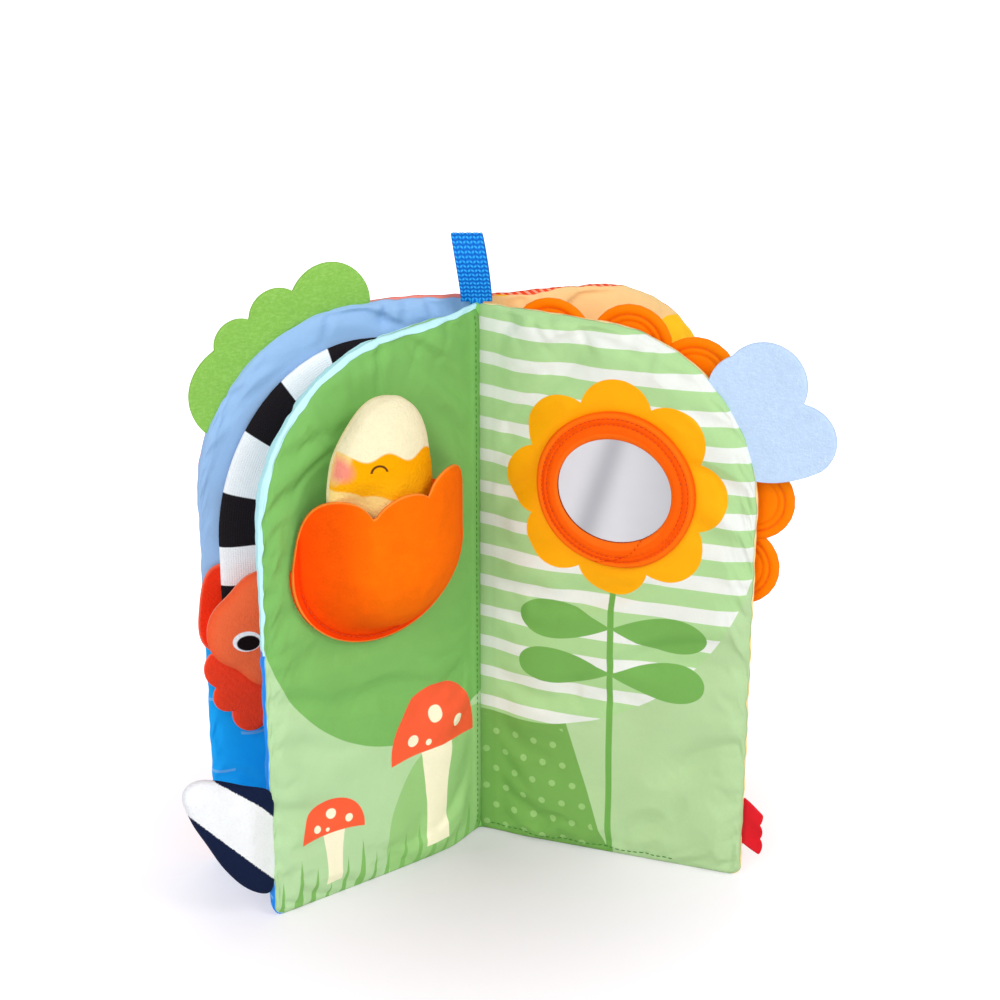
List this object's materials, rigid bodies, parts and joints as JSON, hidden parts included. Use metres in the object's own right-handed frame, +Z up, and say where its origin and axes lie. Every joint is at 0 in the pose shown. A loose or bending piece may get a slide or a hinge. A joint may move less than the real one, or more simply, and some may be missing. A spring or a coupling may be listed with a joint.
{
  "type": "soft cloth book",
  "caption": "Padded cloth book standing open on its page edges, with a sewn-in mirror, felt tabs, a webbing loop, a pocket with a stuffed chick, a sliding fish and a stuffed tail.",
  "frame": {"origin": "foot of the spine, on the hinge line of the two inner pages, at the floor", "axes": "+Z up along the spine; the reader stands on the -Y side and looks along +Y at the open spread, left page towards -X, right page towards +X"},
  "size_m": [0.2538, 0.1631, 0.2685],
  "materials": {
    "green_binding": "woven binding tape",
    "blue_webbing": "woven webbing",
    "sky_blue_fabric": "printed brushed polyester",
    "coral_fabric": "printed brushed polyester",
    "leaf_green_fabric": "printed satin polyester",
    "pale_cyan_fabric": "printed satin polyester",
    "striped_green_fabric": "printed satin polyester",
    "apricot_fabric": "printed brushed polyester",
    "peach_fabric": "printed brushed polyester",
    "red_gingham_fabric": "printed brushed polyester",
    "polyester_batting": "loose fibre",
    "crinkle_film": "thin crackling film",
    "mirror_film": "flexible mirror film",
    "orange_bias_tape": "stitched bias tape",
    "orange_petal_fabric": "stitched satin",
    "light_blue_felt": "felt",
    "green_felt": "felt",
    "red_ribbon": "folded ribbon",
    "black_white_rib": "ribbed knit, black and white bands",
    "scarlet_velour": "velour",
    "deep_red_velour": "velour",
    "orange_red_velour": "velour",
    "orange_velour": "velour",
    "red_orange_velour": "velour",
    "yellow_plush": "short plush",
    "cream_plush": "short plush",
    "navy_plush": "short plush",
    "white_plush": "short plush"
  },
  "bodies": {
    "spine": {"spine_binding": "green_binding"},
    "loop": {"carry_loop": "blue_webbing"},
    "front_cover": {"front_cover_inner_fabric": "sky_blue_fabric", "front_cover_outer_fabric": "coral_fabric", "front_cover_batting": "polyester_batting", "striped_arch": "black_white_rib"},
    "bush": {"felt_bush": "green_felt"},
    "fish": {"fish_rear_fin": "scarlet_velour", "fish_gusset": "scarlet_velour", "fish_lower_fin": "deep_red_velour", "fish_head_left_panel": "orange_red_velour", "fish_head_right_panel": "orange_red_velour", "fish_head_stuffing": "polyester_batting"},
    "left_page": {"left_page_front_fabric": "leaf_green_fabric", "left_page_back_fabric": "pale_cyan_fabric", "left_page_batting_left": "polyester_batting", "left_page_batting_right": "polyester_batting", "left_page_crinkle_film": "crinkle_film", "tulip_pocket_front": "orange_velour", "tulip_pocket_back": "red_orange_velour"},
    "chick": {"chick_left_panel": "yellow_plush", "chick_right_panel": "cream_plush", "chick_stuffing": "polyester_batting"},
    "tail": {"tail_left_panel": "navy_plush", "tail_right_panel": "white_plush", "tail_stuffing": "polyester_batting"},
    "right_page": {"right_page_front_fabric": "striped_green_fabric", "right_page_back_fabric": "apricot_fabric", "right_page_batting": "polyester_batting", "mirror_pad": "polyester_batting", "mirror_film": "mirror_film", "mirror_ring": "orange_bias_tape", "petal_garland": "orange_petal_fabric"},
    "cloud": {"felt_cloud": "light_blue_felt"},
    "label": {"ribbon_label": "red_ribbon"},
    "back_cover": {"back_cover_inner_fabric": "peach_fabric", "back_cover_outer_fabric": "red_gingham_fabric", "back_cover_batting_left": "polyester_batting", "back_cover_batting_right": "polyester_batting", "back_cover_crinkle_film": "crinkle_film"}
  },
  "joints": [
    {"name": "front_cover_turn", "type": "hinge", "parent": "spine", "child": "front_cover", "pos_m": [0, 0.009, 0], "axis": [0, 0, 1], "range_deg": [-130, 5]},
    {"name": "left_page_turn", "type": "hinge", "parent": "spine", "child": "left_page", "pos_m": [0, 0, 0], "axis": [0, 0, 1], "range_deg": [-5, 60]},
    {"name": "right_page_turn", "type": "hinge", "parent": "spine", "child": "right_page", "pos_m": [0, 0, 0], "axis": [0, 0, 1], "range_deg": [-60, 25]},
    {"name": "back_cover_turn", "type": "hinge", "parent": "spine", "child": "back_cover", "pos_m": [0, 0.009, 0], "axis": [0, 0, 1], "range_deg": [-22, 130]},
    {"name": "chick_lift", "type": "slide", "parent": "left_page", "child": "chick", "axis": [0, 0, 1], "range_m": [0, 0.055]},
    {"name": "fish_slide", "type": "slide", "parent": "front_cover", "child": "fish", "axis": [0, 0, 1], "range_m": [0, 0.025]},
    {"name": "tail_flap", "type": "hinge", "parent": "left_page", "child": "tail", "pos_m": [-0.08508, -0.07247, 0.012], "axis": [0, 0, 1], "range_deg": [-35, 35], "stiffness_Nm_per_rad": 0.02},
    {"name": "cloud_flap", "type": "hinge", "parent": "right_page", "child": "cloud", "pos_m": [0.09902, -0.03604, 0.19751], "axis": [0.4316, -0.1571, -0.8883], "range_deg": [-8, 50], "stiffness_Nm_per_rad": 0.01},
    {"name": "bush_flap", "type": "hinge", "parent": "front_cover", "child": "bush", "pos_m": [-0.07431, -0.01372, 0.21349], "axis": [-0.7982, -0.244, -0.5508], "range_deg": [-20, 20], "stiffness_Nm_per_rad": 0.02},
    {"name": "label_flap", "type": "hinge", "parent": "right_page", "child": "label", "pos_m": [0.11211, -0.0408, 0.0115], "axis": [0, 0, 1], "range_deg": [-45, 45], "stiffness_Nm_per_rad": 0.002},
    {"name": "loop_tilt", "type": "hinge", "parent": "spine", "child": "loop", "pos_m": [0, 0, 0.2403], "axis": [1, 0, 0], "range_deg": [-35, 35], "stiffness_Nm_per_rad": 0.004}
  ]
}
